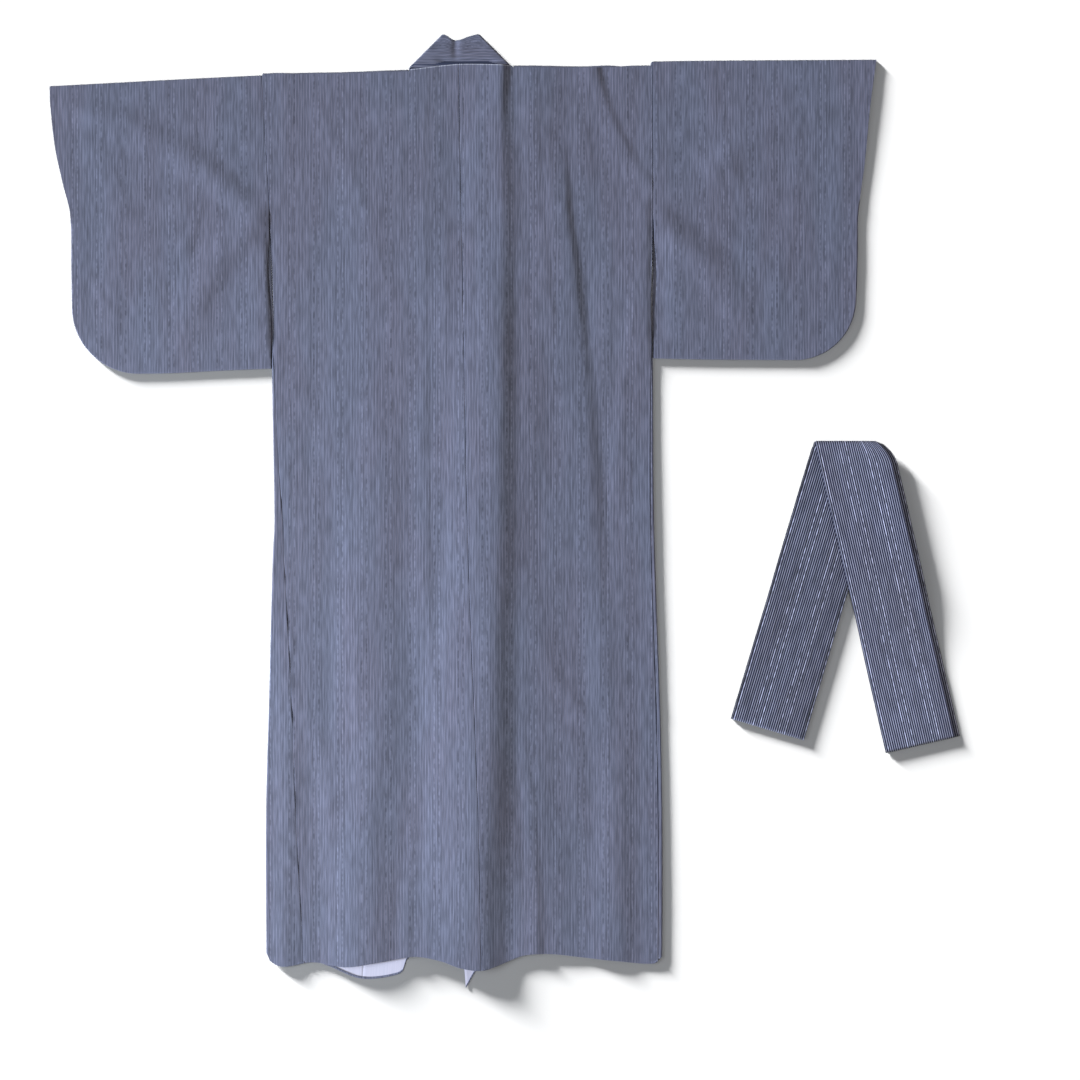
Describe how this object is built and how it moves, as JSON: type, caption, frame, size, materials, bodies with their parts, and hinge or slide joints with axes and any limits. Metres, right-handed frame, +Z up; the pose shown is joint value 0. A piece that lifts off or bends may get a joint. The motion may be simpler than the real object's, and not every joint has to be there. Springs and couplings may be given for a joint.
{
  "type": "cotton yukata robe with its belt",
  "caption": "Striped cotton yukata robe laid flat and closed with its back up, sleeves spread, with its folded striped belt lying beside it.",
  "frame": {"origin": "centre of the outline of the robe and the belt together, on the surface they lie on", "axes": "+Y up the robe from the hem to the collar, +X towards the wearer's right sleeve and the belt, +Z up out of the back of the robe, which faces up"},
  "size_m": [1.5096, 1.5824, 0.0193],
  "materials": {
    "robe_cloth": "matt cotton, fine navy and white pinstripe, pale reverse",
    "belt_cloth": "matt cotton, navy and white stripe along the strap"
  },
  "bodies": {
    "root": {"body_left": "robe_cloth", "body_right": "robe_cloth", "overlap_left": "robe_cloth", "overlap_right": "robe_cloth", "sleeve_left": "robe_cloth", "sleeve_right": "robe_cloth", "collar": "robe_cloth", "belt_over": "belt_cloth", "belt_under": "belt_cloth"}
  },
  "joints": []
}
